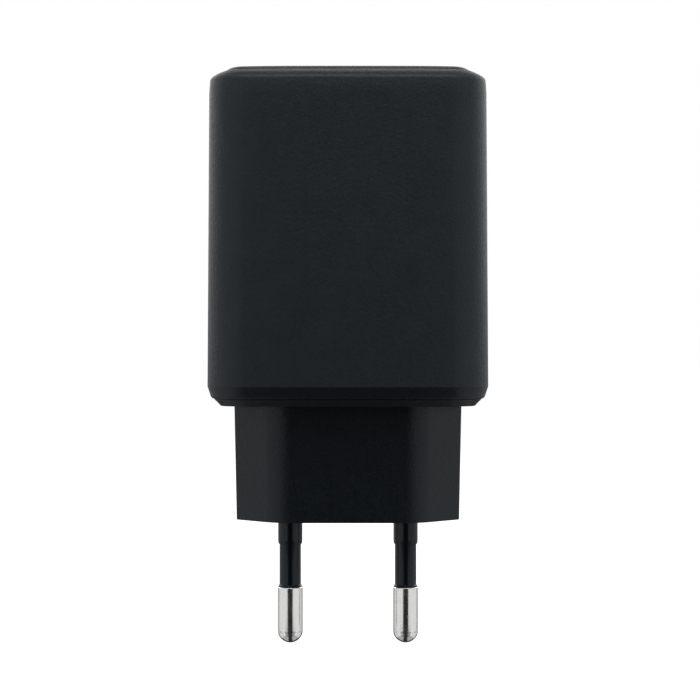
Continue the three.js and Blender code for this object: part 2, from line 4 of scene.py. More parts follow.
import bmesh
import bpy
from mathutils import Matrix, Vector


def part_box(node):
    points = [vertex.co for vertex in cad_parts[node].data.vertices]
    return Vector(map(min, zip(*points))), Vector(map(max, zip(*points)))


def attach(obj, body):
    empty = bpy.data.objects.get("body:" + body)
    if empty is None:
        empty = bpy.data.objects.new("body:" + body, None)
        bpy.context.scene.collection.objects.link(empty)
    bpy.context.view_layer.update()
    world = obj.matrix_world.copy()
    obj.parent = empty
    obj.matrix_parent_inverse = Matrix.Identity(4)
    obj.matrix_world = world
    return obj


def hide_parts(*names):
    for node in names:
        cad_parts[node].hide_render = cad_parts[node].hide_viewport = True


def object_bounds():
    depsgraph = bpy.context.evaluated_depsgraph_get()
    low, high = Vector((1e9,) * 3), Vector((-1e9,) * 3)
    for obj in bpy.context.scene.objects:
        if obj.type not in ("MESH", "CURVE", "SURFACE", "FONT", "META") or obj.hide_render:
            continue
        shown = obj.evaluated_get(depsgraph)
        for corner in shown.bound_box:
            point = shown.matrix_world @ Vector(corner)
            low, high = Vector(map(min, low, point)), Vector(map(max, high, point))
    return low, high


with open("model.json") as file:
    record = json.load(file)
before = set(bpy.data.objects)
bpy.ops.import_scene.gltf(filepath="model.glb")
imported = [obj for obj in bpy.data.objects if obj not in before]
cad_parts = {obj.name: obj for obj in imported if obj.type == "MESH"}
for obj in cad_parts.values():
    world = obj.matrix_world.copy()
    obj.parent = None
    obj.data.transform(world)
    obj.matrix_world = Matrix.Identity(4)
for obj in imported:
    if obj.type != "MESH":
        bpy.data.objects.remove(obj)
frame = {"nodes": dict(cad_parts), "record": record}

# A black USB wall charger. Lengths in this script are millimetres until they reach a mesh.
MM = 0.001
ROOT = "root"
cad_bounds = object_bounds()


def box_mm(node):
    low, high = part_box(node)
    return low / MM, high / MM


shell_low, shell_high = box_mm("shell")
panel_low, panel_high = box_mm("port_panel")
base_low, base_high = box_mm("plug_base")
BODY_WIDTH = shell_high.x - shell_low.x
BODY_DEPTH = shell_high.y - shell_low.y
BODY_BOTTOM = shell_low.z
BODY_TOP = shell_high.z
BODY_CORNER = 7.0  # radius of the four upright edges
BODY_TAPER = 0.27  # each narrow side leans in by this much at the top
WALL = 2.1
MOUTH_WALL = 2.35  # housing wall round the end panel
MOUTH_CORNER = 3.2  # inner radius of its upright edges there
FIT_GAP = 0.2  # gap round the end panel, and round the base's spigot
CHAMFER_HEIGHT = 1.85  # bevel round the housing's foot
EDGE_SLOPE = math.radians(7.5)  # how far a broad face has turned where its upright edge begins
RIM_ROLL = 1.7  # height of the rolled rim on the broad faces
SIDE_ROLL = 1.1  # and on the narrow ones
RIM_LEAD = 2.3  # height below it over which the wall starts to lean in
LEAD_INSET = 0.15  # how far the wall leans in by the foot of the roll
ROLL_SLOPE = 0.13  # slope of the roll at its foot
ROLL_GROWTH, ROLL_POWER = 0.585, 2.2  # and how it steepens towards the mouth


# ---- outlines and meshes ----
def corner_arc(before, corner, after, radius, steps):
    """Points of the arc that rounds one corner of a path."""
    before, corner, after = Vector(before), Vector(corner), Vector(after)
    arriving = (corner - before).normalized()
    leaving = (after - corner).normalized()
    turn = arriving.angle_signed(leaving)
    if radius <= 0 or abs(turn) < 1e-4:
        return [tuple(corner)]
    reach = radius * math.tan(abs(turn) / 2)
    start = corner - arriving * reach
    side = -1 if turn > 0 else 1
    centre = start + Vector((-arriving.y, arriving.x)) * radius * side
    spoke = start - centre
    points = []
    for i in range(steps + 1):
        angle = side * abs(turn) * i / steps
        cos, sin = math.cos(angle), math.sin(angle)
        x = centre.x + spoke.x * cos - spoke.y * sin
        y = centre.y + spoke.x * sin + spoke.y * cos
        points.append((x, y))
    return points


def rounded_path(corners, closed=False, steps=4):
    """A 2-D path through [x, y, radius] corners, each rounded by its radius."""
    points = []
    last = len(corners) - 1
    for i, (x, y, radius) in enumerate(corners):
        if not closed and i in (0, last):
            points.append((x, y))
            continue
        before = corners[i - 1][:2]
        after = corners[(i + 1) % len(corners)][:2]
        points.extend(corner_arc(before, (x, y), after, radius, steps))
    return points


def rounded_rectangle(width, depth, radius, steps=14):
    """Anticlockwise points of a rounded rectangle about the origin, the same count at any size."""
    points = []
    for side_x, side_y, start in ((1, -1, -90), (1, 1, 0), (-1, 1, 90), (-1, -1, 180)):
        for i in range(steps + 1):
            angle = math.radians(start + 90 * i / steps)
            x = side_x * (width / 2 - radius) + radius * math.cos(angle)
            y = side_y * (depth / 2 - radius) + radius * math.sin(angle)
            points.append((x, y))
    return points


def mark_creases(bm, sharp_degrees):
    for face in bm.faces:
        face.smooth = True
    for edge in bm.edges:
        if len(edge.link_faces) == 2:
            edge.smooth = edge.calc_face_angle() < math.radians(sharp_degrees)


def finish_mesh(name, bm, sharp_degrees=40):
    """Makes the object: outward faces, smooth shading with sharp creases."""
    bmesh.ops.remove_doubles(bm, verts=bm.verts, dist=1e-5)
    bmesh.ops.dissolve_degenerate(bm, dist=1e-5, edges=bm.edges)
    bmesh.ops.recalc_face_normals(bm, faces=bm.faces)
    mark_creases(bm, sharp_degrees)
    bmesh.ops.scale(bm, vec=(MM, MM, MM), verts=bm.verts)
    mesh = bpy.data.meshes.new(name)
    bm.to_mesh(mesh)
    bm.free()
    piece = bpy.data.objects.new(name, mesh)
    bpy.context.scene.collection.objects.link(piece)
    return piece


def add_loft(bm, rings, closed=False):
    """Skins a stack of rings with quads; an open stack is capped at both ends."""
    rows = [[bm.verts.new(point) for point in ring] for ring in rings]
    pairs = list(zip(rows, rows[1:]))
    if closed:
        pairs.append((rows[-1], rows[0]))
    for lower, upper in pairs:
        count = len(lower)
        for i in range(count):
            j = (i + 1) % count
            bm.faces.new((lower[i], lower[j], upper[j], upper[i]))
    if not closed:
        bm.faces.new(list(reversed(rows[0])))
        bm.faces.new(rows[-1])


def add_lathe(bm, profile, segments=64, centre=(0, 0), closed=False):
    """Turns a path of (radius, height) about an upright line."""
    rings = []
    for radius, height in profile:
        ring = []
        for i in range(segments):
            angle = 2 * math.pi * i / segments
            x = centre[0] + max(radius, 1e-4) * math.cos(angle)
            y = centre[1] + max(radius, 1e-4) * math.sin(angle)
            ring.append((x, y, height))
        rings.append(ring)
    add_loft(bm, rings, closed)


def add_box(bm, low, high):
    corners = [
        [(low[0], low[1], z), (high[0], low[1], z), (high[0], high[1], z), (low[0], high[1], z)]
        for z in (low[2], high[2])
    ]
    add_loft(bm, corners)


def boolean(piece, other, operation):
    """Joins or cuts piece with other, which is then removed."""
    step = piece.modifiers.new("boolean", "BOOLEAN")
    step.operation = operation
    step.solver = "EXACT"
    step.object = other
    graph = bpy.context.evaluated_depsgraph_get()
    mesh = bpy.data.meshes.new_from_object(piece.evaluated_get(graph))
    piece.modifiers.clear()
    piece.data = mesh
    bpy.data.objects.remove(other)


def even_normals(piece, sharp_degrees=40):
    """Keeps flat faces flat in the shading where they meet small rounded ones."""
    bm = bmesh.new()
    bm.from_mesh(piece.data)
    mark_creases(bm, sharp_degrees)
    bm.to_mesh(piece.data)
    bm.free()
    weighted = piece.modifiers.new("normals", "WEIGHTED_NORMAL")
    weighted.keep_sharp = True
    weighted.weight = 100


# ---- materials ----
def new_material(name):
    material = bpy.data.materials.new(name)
    material.use_nodes = True
    nodes = material.node_tree.nodes
    return material, nodes, material.node_tree.links, nodes["Principled BSDF"]


def noise(nodes, links, scale, detail, roughness=0.5):
    """A noise in the object's own space, with its grain per metre."""
    where = nodes.new("ShaderNodeTexCoord")
    texture = nodes.new("ShaderNodeTexNoise")
    texture.inputs["Scale"].default_value = scale
    texture.inputs["Detail"].default_value = detail
    texture.inputs["Roughness"].default_value = roughness
    links.new(where.outputs["Object"], texture.inputs["Vector"])
    return texture


def remap(nodes, links, source, low, high, from_low=0.3, from_high=0.7):
    ramp = nodes.new("ShaderNodeMapRange")
    ramp.inputs["From Min"].default_value = from_low
    ramp.inputs["From Max"].default_value = from_high
    ramp.inputs["To Min"].default_value = low
    ramp.inputs["To Max"].default_value = high
    links.new(source, ramp.inputs["Value"])
    return ramp.outputs["Result"]


def blend_colors(nodes, links, factor, first, second):
    mix = nodes.new("ShaderNodeMix")
    mix.data_type = "RGBA"
    mix.inputs["A"].default_value = (*first, 1)
    mix.inputs["B"].default_value = (*second, 1)
    links.new(factor, mix.inputs["Factor"])
    return mix.outputs["Result"]


def add_bump(nodes, links, shader, height, depth_mm):
    bump = nodes.new("ShaderNodeBump")
    bump.inputs["Strength"].default_value = 1.0
    bump.inputs["Distance"].default_value = depth_mm * MM
    links.new(height, bump.inputs["Height"])
    links.new(bump.outputs["Normal"], shader.inputs["Normal"])


def textured_plastic(name, color, rough, grain_per_mm, grain_depth, mottling=0.12, sheen=None):
    """Moulded plastic with a spark-eroded grain: small rounded bumps under a faint mottle."""
    material, nodes, links, shader = new_material(name)
    set_reflection(shader, sheen)
    mottle = noise(nodes, links, 220, 4)
    fine = noise(nodes, links, grain_per_mm * 1000, 2, 0.6)
    coarse = noise(nodes, links, grain_per_mm * 420, 2, 0.5)
    height = nodes.new("ShaderNodeMath")
    height.operation = "ADD"
    links.new(fine.outputs["Fac"], height.inputs[0])
    links.new(coarse.outputs["Fac"], height.inputs[1])
    dark = tuple(c * (1 - mottling) for c in color)
    light = tuple(c * (1 + mottling) for c in color)
    factor = remap(nodes, links, mottle.outputs["Fac"], 0, 1)
    links.new(blend_colors(nodes, links, factor, dark, light), shader.inputs["Base Color"])
    spread = remap(nodes, links, fine.outputs["Fac"], rough - 0.08, rough + 0.08)
    links.new(spread, shader.inputs["Roughness"])
    add_bump(nodes, links, shader, height.outputs["Value"], grain_depth)
    return material


def set_reflection(shader, sheen):
    """Strength and tint of a plastic's reflection, as (level, tint)."""
    if sheen is not None:
        level, tint = sheen
        shader.inputs["Specular IOR Level"].default_value = level
        shader.inputs["Specular Tint"].default_value = (*tint, 1)


def smooth_plastic(name, color, rough, ripple=0.002, sheen=None):
    """Glossy moulded plastic with faint flow marks."""
    material, nodes, links, shader = new_material(name)
    set_reflection(shader, sheen)
    flow = noise(nodes, links, 500, 2)
    smear = noise(nodes, links, 1800, 3)
    dark = tuple(c * 0.85 for c in color)
    factor = remap(nodes, links, flow.outputs["Fac"], 0, 1)
    links.new(blend_colors(nodes, links, factor, dark, color), shader.inputs["Base Color"])
    spread = remap(nodes, links, smear.outputs["Fac"], rough * 0.85, rough * 1.2)
    links.new(spread, shader.inputs["Roughness"])
    add_bump(nodes, links, shader, flow.outputs["Fac"], ripple)
    return material


def plated_metal(name, color, rough, lines_per_mm=9.0, line_depth=0.0006, axis="Z"):
    """Bright metal with fine drawn or turned lines across one axis."""
    material, nodes, links, shader = new_material(name)
    shader.inputs["Metallic"].default_value = 1.0
    where = nodes.new("ShaderNodeTexCoord")
    lines = nodes.new("ShaderNodeTexWave")
    lines.bands_direction = axis
    lines.inputs["Scale"].default_value = lines_per_mm * 1000 / 6.283
    lines.inputs["Distortion"].default_value = 1.5
    lines.inputs["Detail"].default_value = 2.0
    links.new(where.outputs["Object"], lines.inputs["Vector"])
    haze = noise(nodes, links, 700, 3)
    dark = tuple(c * 0.93 for c in color)
    factor = remap(nodes, links, haze.outputs["Fac"], 0, 1)
    links.new(blend_colors(nodes, links, factor, dark, color), shader.inputs["Base Color"])
    spread = remap(nodes, links, haze.outputs["Fac"], rough * 0.8, rough * 1.3)
    links.new(spread, shader.inputs["Roughness"])
    add_bump(nodes, links, shader, lines.outputs["Fac"], line_depth)
    return material


def wound_wire(name, color, turns_per_mm, axis):
    """Enamelled wire laid side by side across one axis, with painted shade in the grooves between
    the turns.
    """
    material, nodes, links, shader = new_material(name)
    shader.inputs["Metallic"].default_value = 0.85
    shader.inputs["Coat Weight"].default_value = 0.6
    where = nodes.new("ShaderNodeTexCoord")
    turns = nodes.new("ShaderNodeTexWave")
    turns.bands_direction = axis
    turns.inputs["Scale"].default_value = turns_per_mm * 1000 / 6.283 * 2
    turns.inputs["Distortion"].default_value = 0.3
    links.new(where.outputs["Object"], turns.inputs["Vector"])
    # painted shade: the colour darkens to about a third in the grooves between the turns
    dark = tuple(c * 0.35 for c in color)
    links.new(
        blend_colors(nodes, links, turns.outputs["Fac"], dark, color), shader.inputs["Base Color"]
    )
    spread = remap(nodes, links, turns.outputs["Fac"], 0.5, 0.25, 0, 1)
    links.new(spread, shader.inputs["Roughness"])
    add_bump(nodes, links, shader, turns.outputs["Fac"], 0.05)
    return material


def circuit_board(name):
    """Green solder mask over traces, with a woven-glass ripple."""
    material, nodes, links, shader = new_material(name)
    where = nodes.new("ShaderNodeTexCoord")
    traces = nodes.new("ShaderNodeTexBrick")
    traces.inputs["Scale"].default_value = 300
    traces.inputs["Color1"].default_value = (0.012, 0.095, 0.035, 1)
    traces.inputs["Color2"].default_value = (0.009, 0.07, 0.028, 1)
    traces.inputs["Mortar"].default_value = (0.02, 0.15, 0.06, 1)
    traces.inputs["Mortar Size"].default_value = 0.03
    weave = noise(nodes, links, 2500, 2)
    links.new(where.outputs["Object"], traces.inputs["Vector"])
    links.new(traces.outputs["Color"], shader.inputs["Base Color"])
    spread = remap(nodes, links, weave.outputs["Fac"], 0.3, 0.45)
    links.new(spread, shader.inputs["Roughness"])
    add_bump(nodes, links, shader, weave.outputs["Fac"], 0.01)
    return material


BLACK = (0.0105, 0.0150, 0.0185)
# darker black of the plug moulding; on the housing's foot bevel this darker colour is painted shade
PLUG_BLACK_AND_BEVEL_SHADE = (0.0045, 0.0066, 0.0086)
COOL_GLOSS = (0.34, (0.92, 1.0, 1.07))
housing = textured_plastic("housing_plastic", BLACK, 0.49, 3.4, 0.045, sheen=COOL_GLOSS)
# the plug's plastic, glossier than the housing's; where it covers the housing's foot bevel its
# darker colour is painted shade
plug_and_bevel_shade_plastic = textured_plastic("plug_and_bevel_shade_plastic", PLUG_BLACK_AND_BEVEL_SHADE, 0.38, 3.4, 0.03, sheen=COOL_GLOSS)
sleeve_plastic = smooth_plastic("sleeve_plastic", (0.003, 0.005, 0.007), 0.22, sheen=COOL_GLOSS)
nickel = plated_metal("nickel_plate", (0.93, 0.93, 0.92), 0.17, line_depth=0.0012)
tin = plated_metal("tin_plate", (0.62, 0.62, 0.62), 0.28, 5)
gold = plated_metal("gold_flash", (0.86, 0.62, 0.27), 0.22, 6)
MATERIALS = {
    "housing": housing,
    "pin_sleeve": sleeve_plastic,
    "nickel": nickel,
    "tin": tin,
    "gold": gold,
    "bronze": plated_metal("phosphor_bronze", (0.55, 0.33, 0.14), 0.3, 6),
    "black_nylon": textured_plastic("black_nylon", (0.012, 0.012, 0.013), 0.45, 4, 0.006),
    "white_nylon": textured_plastic("white_nylon", (0.66, 0.64, 0.58), 0.45, 4, 0.006, 0.04),
    "board": circuit_board("solder_mask"),
    "chip": textured_plastic("chip_epoxy", (0.013, 0.013, 0.014), 0.5, 6, 0.01),
    "ferrite": textured_plastic("ferrite", (0.045, 0.045, 0.05), 0.6, 5, 0.02, 0.2),
    "copper": wound_wire("copper_wire", (0.72, 0.3, 0.12), 4.0, "Z"),
    "tape": smooth_plastic("polyester_tape", (0.66, 0.43, 0.05), 0.35),
    "can_sleeve": smooth_plastic("shrink_sleeve", (0.02, 0.023, 0.03), 0.3),
    "film_case": textured_plastic("film_case", (0.68, 0.45, 0.04), 0.45, 4, 0.006, 0.05),
    "blue_coat": smooth_plastic("blue_dip_coat", (0.02, 0.1, 0.33), 0.28),
    "fuse_tube": textured_plastic("fuse_ceramic", (0.58, 0.52, 0.4), 0.6, 5, 0.01, 0.05),
    "aluminium": plated_metal("rolled_aluminium", (0.75, 0.76, 0.77), 0.35, 4),
    "thermal_pad": textured_plastic("silicone_pad", (0.26, 0.29, 0.32), 0.85, 3, 0.02, 0.06),
    "film": smooth_plastic("insulating_film", (0.62, 0.64, 0.6), 0.3),
}


def dress(piece, slot, *stands_for):
    """Gives a new piece its finish and its body, and hides the CAD nodes that it stands for."""
    piece.data.materials.clear()
    piece.data.materials.append(MATERIALS[slot])
    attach(piece, ROOT)
    if stands_for:
        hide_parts(*stands_for)


# ---- housing ----
def body_ring(inset, height, lean=0.0, corner=None, side_rise=0.0):
    """The housing's outline: crowned broad faces that run smoothly into round upright edges.
    The ring climbs by side_rise on its way round to the narrow sides."""
    radius = BODY_CORNER - inset if corner is None else corner
    half_depth = BODY_DEPTH / 2 - inset
    reach = BODY_WIDTH / 2 - inset - lean - radius * (1 - math.sin(EDGE_SLOPE))
    crown = math.tan(EDGE_SLOPE) * reach / 4
    centre_x = reach - radius * math.sin(EDGE_SLOPE)
    centre_y = half_depth - crown - radius * math.cos(EDGE_SLOPE)
    face_steps, corner_steps = 12, 16
    quarter = []
    for i in range(face_steps):
        share = i / face_steps
        quarter.append((reach * share, half_depth - crown * share ** 4, height))
    for i in range(corner_steps + 1):
        share = i / corner_steps
        angle = EDGE_SLOPE + (math.pi / 2 - EDGE_SLOPE) * share
        x = centre_x + radius * math.sin(angle)
        y = centre_y + radius * math.cos(angle)
        quarter.append((x, y, height + side_rise * share ** 2))
    ring = [(x, y, z) for x, y, z in reversed(quarter)]
    ring.extend((-x, y, z) for x, y, z in quarter[1:])
    ring.extend((-x, -y, z) for x, y, z in reversed(quarter))
    ring.extend((x, -y, z) for x, y, z in quarter[1:])
    return ring


def rim_inset(down):
    """How far the wall has rolled inwards at a depth below the rim's top."""
    lead = min(1.0, max(0.0, (RIM_ROLL + RIM_LEAD - down) / RIM_LEAD))
    roll = max(0.0, RIM_ROLL - down)
    return LEAD_INSET * lead ** 2 + ROLL_SLOPE * roll + ROLL_GROWTH * roll ** ROLL_POWER


def make_shell():
    """The sleeve, as one closed skin: up the outside, over the rim and down the inside."""
    top = BODY_TOP
    bottom = BODY_BOTTOM
    chamfer = bottom + CHAMFER_HEIGHT
    full_lean = top - RIM_ROLL - RIM_LEAD
    outside = rounded_path([
        (WALL, bottom, 0),
        (0.8, bottom, 0.06),
        (0.52, bottom + 0.3, 0.15),
        (0.0, chamfer, 0.3),
        (0.0, full_lean, 0),
    ])
    depths = [RIM_ROLL + RIM_LEAD * (1 - i / 6) for i in range(1, 6)]
    depths += [RIM_ROLL * (1 - i / 16) for i in range(17)]
    mouth = rounded_path([
        (rim_inset(0), top, 0),
        (MOUTH_WALL, top, 0.06),
        (MOUTH_WALL, top - 3, 0),
    ])[1:]
    inside = [(WALL, top - 3.2), (WALL, bottom + 0.5)]

    def corner_at(inset):
        return BODY_CORNER - (BODY_CORNER - MOUTH_CORNER) * inset / MOUTH_WALL

    rings = []
    for inset, height in outside:
        share = max(0.0, (height - bottom) / (full_lean - bottom))
        rings.append(body_ring(inset, height, BODY_TAPER * share))
    for down in depths:
        fade = min(1.0, (RIM_ROLL + RIM_LEAD - down) / RIM_LEAD)
        rise = fade * min(down, RIM_ROLL) * (1 - SIDE_ROLL / RIM_ROLL)
        inset = rim_inset(down)
        rings.append(body_ring(inset, top - down, BODY_TAPER, corner_at(inset), rise))
    for inset, height in mouth:
        rings.append(body_ring(inset, height, BODY_TAPER, corner_at(inset)))
    for inset, height in inside:
        rings.append(body_ring(inset, height, BODY_TAPER))
    bm = bmesh.new()
    add_loft(bm, rings, closed=True)
    piece = finish_mesh("housing_shell", bm)
    even_normals(piece, 60)
    dress(piece, "housing", "shell")
    # The bevel round the foot takes the plug's plastic: a glossier finish, and a darker colour that
    # is painted shade on this downward-facing band.
    piece.data.materials.append(plug_and_bevel_shade_plastic)
    for face in piece.data.polygons:
        if face.center.z / MM < chamfer:
            face.material_index = 1


PORTS = {
    "a": {"node": "usb_a_shell", "corner": 0.5},
    "c": {"node": "usb_c_shell", "corner": 1.57},
}
for port in PORTS.values():
    port["low"], port["high"] = box_mm(port["node"])
    port["middle"] = (port["low"] + port["high"]) / 2
    port["width"] = port["high"].x - port["low"].x
    port["depth"] = port["high"].y - port["low"].y


def port_ring(port, outset, height, steps=10):
    outline = rounded_rectangle(
        port["width"] + 2 * outset, port["depth"] + 2 * outset, port["corner"] + outset, steps
    )
    middle = port["middle"]
    return [(middle.x + x, middle.y + y, height) for x, y in outline]


def make_port_panel():
    """The end panel: a raised plate with a soft edge, and a bevelled window for each socket."""
    edge = MOUTH_WALL + FIT_GAP
    corner = MOUTH_CORNER - FIT_GAP
    roll_radius, roll_start = 3.0, 50
    top = panel_high.z
    bottom = panel_low.z
    profile = [(1.5, bottom), (0.0, bottom)]
    for i in range(11):
        angle = math.radians(roll_start + (90 - roll_start) * i / 10)
        inset = roll_radius * (math.cos(math.radians(roll_start)) - math.cos(angle))
        profile.append((inset, top - roll_radius * (1 - math.sin(angle))))
    bm = bmesh.new()
    add_loft(bm, [
        body_ring(edge + inset, height, BODY_TAPER, corner - inset) for inset, height in profile
    ])
    piece = finish_mesh("end_panel", bm)
    for port in PORTS.values():
        cutter = bmesh.new()
        window = rounded_path([
            (0.14, bottom - 1, 0),
            (0.14, top - 0.3, 0.25),
            (0.5, top + 0.2, 0),
        ], steps=4)
        add_loft(cutter, [port_ring(port, outset, height) for outset, height in window])
        boolean(piece, finish_mesh("window", cutter), "DIFFERENCE")
    even_normals(piece)
    dress(piece, "housing", "port_panel")


# ---- plug ----
def section_size(node, height, tolerance=0.01):
    """Width and depth of a CAD node's outline at one height."""
    points = [v.co / MM for v in frame["nodes"][node].data.vertices]
    level = [p for p in points if abs(p.z - height) < tolerance]
    xs, ys = [p.x for p in level], [p.y for p in level]
    return max(xs) - min(xs), max(ys) - min(ys)


BOSS_WIDTH, BOSS_DEPTH = section_size("plug_base", base_low.z)
BOSS_FLAT = 22.2  # length of its two long flats before rounding
BOSS_END = 2.0  # width of its two end flats
SHOULDER_BOTTOM = 18.2
BOSS_DRAFT = 0.36  # the outline grows by this much a side up to the shoulder
DRAFT_SHARE = 0.4  # share of that growth which the ends of the flats take


def boss_ring(height, inset=0.0):
    """The six-sided outline of the plug boss, a little larger towards the shoulder."""
    grow = BOSS_DRAFT * height / SHOULDER_BOTTOM - inset
    x = BOSS_WIDTH / 2 + grow
    y = BOSS_DEPTH / 2 + grow
    flat = BOSS_FLAT / 2 + grow * DRAFT_SHARE
    end = BOSS_END / 2 + grow * DRAFT_SHARE
    front, tip = 6.0, 0.45
    outline = rounded_path([
        (flat, -y, front), (x, -end, tip), (x, end, tip), (flat, y, front),
        (-flat, y, front), (-x, end, tip), (-x, -end, tip), (-flat, -y, front),
    ], closed=True, steps=9)
    return [(px, py, height) for px, py in outline]


def make_plug_base():
    """The shoulder band with the plug boss below it and the spigot inside the shell."""
    boss = bmesh.new()
    fillet = 0.12
    rings = []
    for i in range(5):
        angle = math.radians(90 * i / 4)
        rings.append(boss_ring(fillet - fillet * math.cos(angle), fillet - fillet * math.sin(angle)))
    rings.append(boss_ring(SHOULDER_BOTTOM + 0.6))
    add_loft(boss, rings)
    piece = finish_mesh("plug_base_moulding", boss)

    # (inset from the housing's outline, height, rounding)
    shoulder = bmesh.new()
    profile = rounded_path([
        (4.0, SHOULDER_BOTTOM, 0),
        (2.07, SHOULDER_BOTTOM, 0.15),
        (1.45, SHOULDER_BOTTOM + 0.66, 0.3),
        (0.97, BODY_BOTTOM - 0.06, 0.05),
        (1.15, BODY_BOTTOM - 0.06, 0),
        (1.15, BODY_BOTTOM - 0.01, 0),
        (WALL + FIT_GAP + BODY_TAPER, BODY_BOTTOM - 0.01, 0.02),
        (WALL + FIT_GAP + BODY_TAPER, base_high.z, 0.2),
        (4.0, base_high.z, 0.2),
        (4.0, BODY_BOTTOM + 1.3, 0),
    ], steps=4)
    add_loft(shoulder, [body_ring(inset, height) for inset, height in profile])
    boolean(piece, finish_mesh("shoulder", shoulder), "UNION")

    sleeve_play = 0.05
    for side in ("left", "right"):
        low, high = box_mm(f"pin_sleeve_{side}")
        bore = bmesh.new()
        radius = (high.x - low.x) / 2 + sleeve_play
        centre = ((low.x + high.x) / 2, (low.y + high.y) / 2)
        add_lathe(bore, [(radius, -1), (radius, high.z)], 72, centre)
        boolean(piece, finish_mesh("bore", bore), "DIFFERENCE")
    even_normals(piece)
    dress(piece, "housing", "plug_base")
    piece.data.materials[0] = plug_and_bevel_shade_plastic


def make_pin(side):
    """A turned pin: ball end, small chamfer where the metal starts, core and head."""
    low, high = box_mm(f"pin_{side}")
    sleeve_low, _ = box_mm(f"pin_sleeve_{side}")
    centre = ((low.x + high.x) / 2, (low.y + high.y) / 2)
    radius, core, neck, head = 2.0, 1.2, 1.3, (high.x - low.x) / 2
    head_low, head_high = 3.2, 4.4
    tip = low.z
    start = sleeve_low.z - 0.02
    ball = [
        (radius * math.sin(math.radians(a)), tip + radius - radius * math.cos(math.radians(a)))
        for a in range(0, 91, 5)
    ]
    upper = rounded_path([
        (radius, tip + radius, 0),
        (radius, start, 0.12),
        (core, start, 0),
        (core, head_low, 0),
        (head, head_low, 0.1),
        (head, head_high, 0.1),
        (neck, head_high, 0),
        (neck, high.z, 0.3),
        (0, high.z, 0),
    ], steps=5)
    bm = bmesh.new()
    add_lathe(bm, ball + upper[1:], 96, centre)
    dress(finish_mesh(f"plug_pin_{side}", bm), "nickel", f"pin_{side}")


def make_pin_sleeve(side):
    """The insulating sleeve: thicker root, slim middle and a thin lip at the metal."""
    low, high = box_mm(f"pin_sleeve_{side}")
    centre = ((low.x + high.x) / 2, (low.y + high.y) / 2)
    root = (high.x - low.x) / 2
    slim, lip, bore = 1.7, 1.86, 1.3
    step = -3.9
    profile = rounded_path([
        (bore, low.z, 0.02),
        (lip, low.z, 0.05),
        (lip, low.z + 0.2, 0.06),
        (slim, low.z + 0.36, 0.1),
        (slim, step, 0.05),
        (root - 0.05, step, 0.16),
        (root, step + 0.6, 0.3),
        (root, high.z, 0.05),
        (bore, high.z, 0.05),
    ], closed=True, steps=4)
    bm = bmesh.new()
    add_lathe(bm, profile, 96, centre, closed=True)
    dress(finish_mesh(f"insulating_sleeve_{side}", bm), "pin_sleeve", f"pin_sleeve_{side}")


# ---- sockets ----
def make_socket_shell(key):
    """A drawn sheet-metal can, open at the mouth, with rolled edges."""
    port = PORTS[key]
    sheet, rear_lip = 0.3, 1.2
    bottom, mouth = port["low"].z, port["high"].z
    profile = rounded_path([
        (-rear_lip, bottom, 0),
        (0, bottom, 0.25),
        (0, mouth, 0.12),
        (-sheet, mouth, 0.12),
        (-sheet, bottom + sheet, 0.1),
        (-rear_lip, bottom + sheet, 0),
    ], steps=4)
    bm = bmesh.new()
    add_loft(bm, [port_ring(port, outset, height) for outset, height in profile])
    piece = finish_mesh(f"socket_{key}_can", bm)
    even_normals(piece)
    dress(piece, "tin", port["node"])


def make_leaf_springs():
    """The four sprung leaves on the long walls of the wide socket."""
    port = PORTS["a"]
    bm = bmesh.new()
    inside = port["depth"] / 2 - 0.3
    spacing, half_width, sheet = 3.1, 0.85, 0.16
    set_back, length = 1.3, 6.4
    for side in (-1, 1):
        for offset in (-spacing, spacing):
            x = port["middle"].x + offset
            rings = []
            for i in range(13):
                share = i / 12
                height = port["high"].z - set_back - length * share
                bow = 0.45 * math.sin(math.pi * min(share * 1.25, 1.0)) + 0.02
                inner = port["middle"].y + side * (inside - bow - sheet)
                outer = port["middle"].y + side * (inside - bow)
                near, far = x - half_width, x + half_width
                ring = [(near, inner), (far, inner), (far, outer), (near, outer)]
                if side < 0:
                    ring.reverse()
                rings.append([(px, py, height) for px, py in ring])
            add_loft(bm, rings)
    piece = finish_mesh("socket_a_leaves", bm, 50)
    dress(piece, "tin")


def make_tongue_a():
    """The wide socket's tongue on its base block, with a groove for each contact."""
    low, high = box_mm("usb_a_tongue")
    port = PORTS["a"]
    middle = port["middle"]
    width, depth, corner, offset = 11.1, 1.84, 0.9, 0.6
    play = 0.12
    bm = bmesh.new()
    tongue = rounded_path([
        (0, low.z + 2, 0),
        (0, high.z, 0.3),
        (0.85, high.z, 0),
    ], steps=4)
    rings = []
    for inset, height in tongue:
        outline = rounded_rectangle(width - 2 * inset, depth - 2 * inset, corner - 0.98 * inset, 6)
        rings.append([(middle.x + x, middle.y + offset + y, height) for x, y in outline])
    add_loft(bm, rings)
    piece = finish_mesh("socket_a_tongue", bm)
    block = bmesh.new()
    add_box(block, (low.x, low.y, low.z), (high.x, high.y, low.z + 4))
    boolean(piece, finish_mesh("block", block), "UNION")
    for i in range(1, 5):
        c_low, c_high = box_mm(f"usb_a_contact_{i}")
        groove = bmesh.new()
        near = (c_low.x - play, c_low.y - 0.5, c_low.z)
        far = (c_high.x + play, c_high.y + play, c_high.z + 0.2)
        add_box(groove, near, far)
        boolean(piece, finish_mesh("groove", groove), "DIFFERENCE")
    dress(piece, "black_nylon", "usb_a_tongue")


def make_contact_a(index):
    """One flat contact with its rounded nose."""
    low, high = box_mm(f"usb_a_contact_{index}")
    bm = bmesh.new()
    outline = rounded_path([
        (low.y, low.z, 0),
        (high.y, low.z, 0),
        (high.y, high.z, 0.08),
        (low.y, high.z - 0.1, 0.16),
    ], closed=True, steps=5)
    add_loft(bm, [[(x, y, z) for y, z in outline] for x in (low.x, high.x)])
    piece = finish_mesh(f"socket_a_contact_{index}", bm)
    dress(piece, "gold", f"usb_a_contact_{index}")


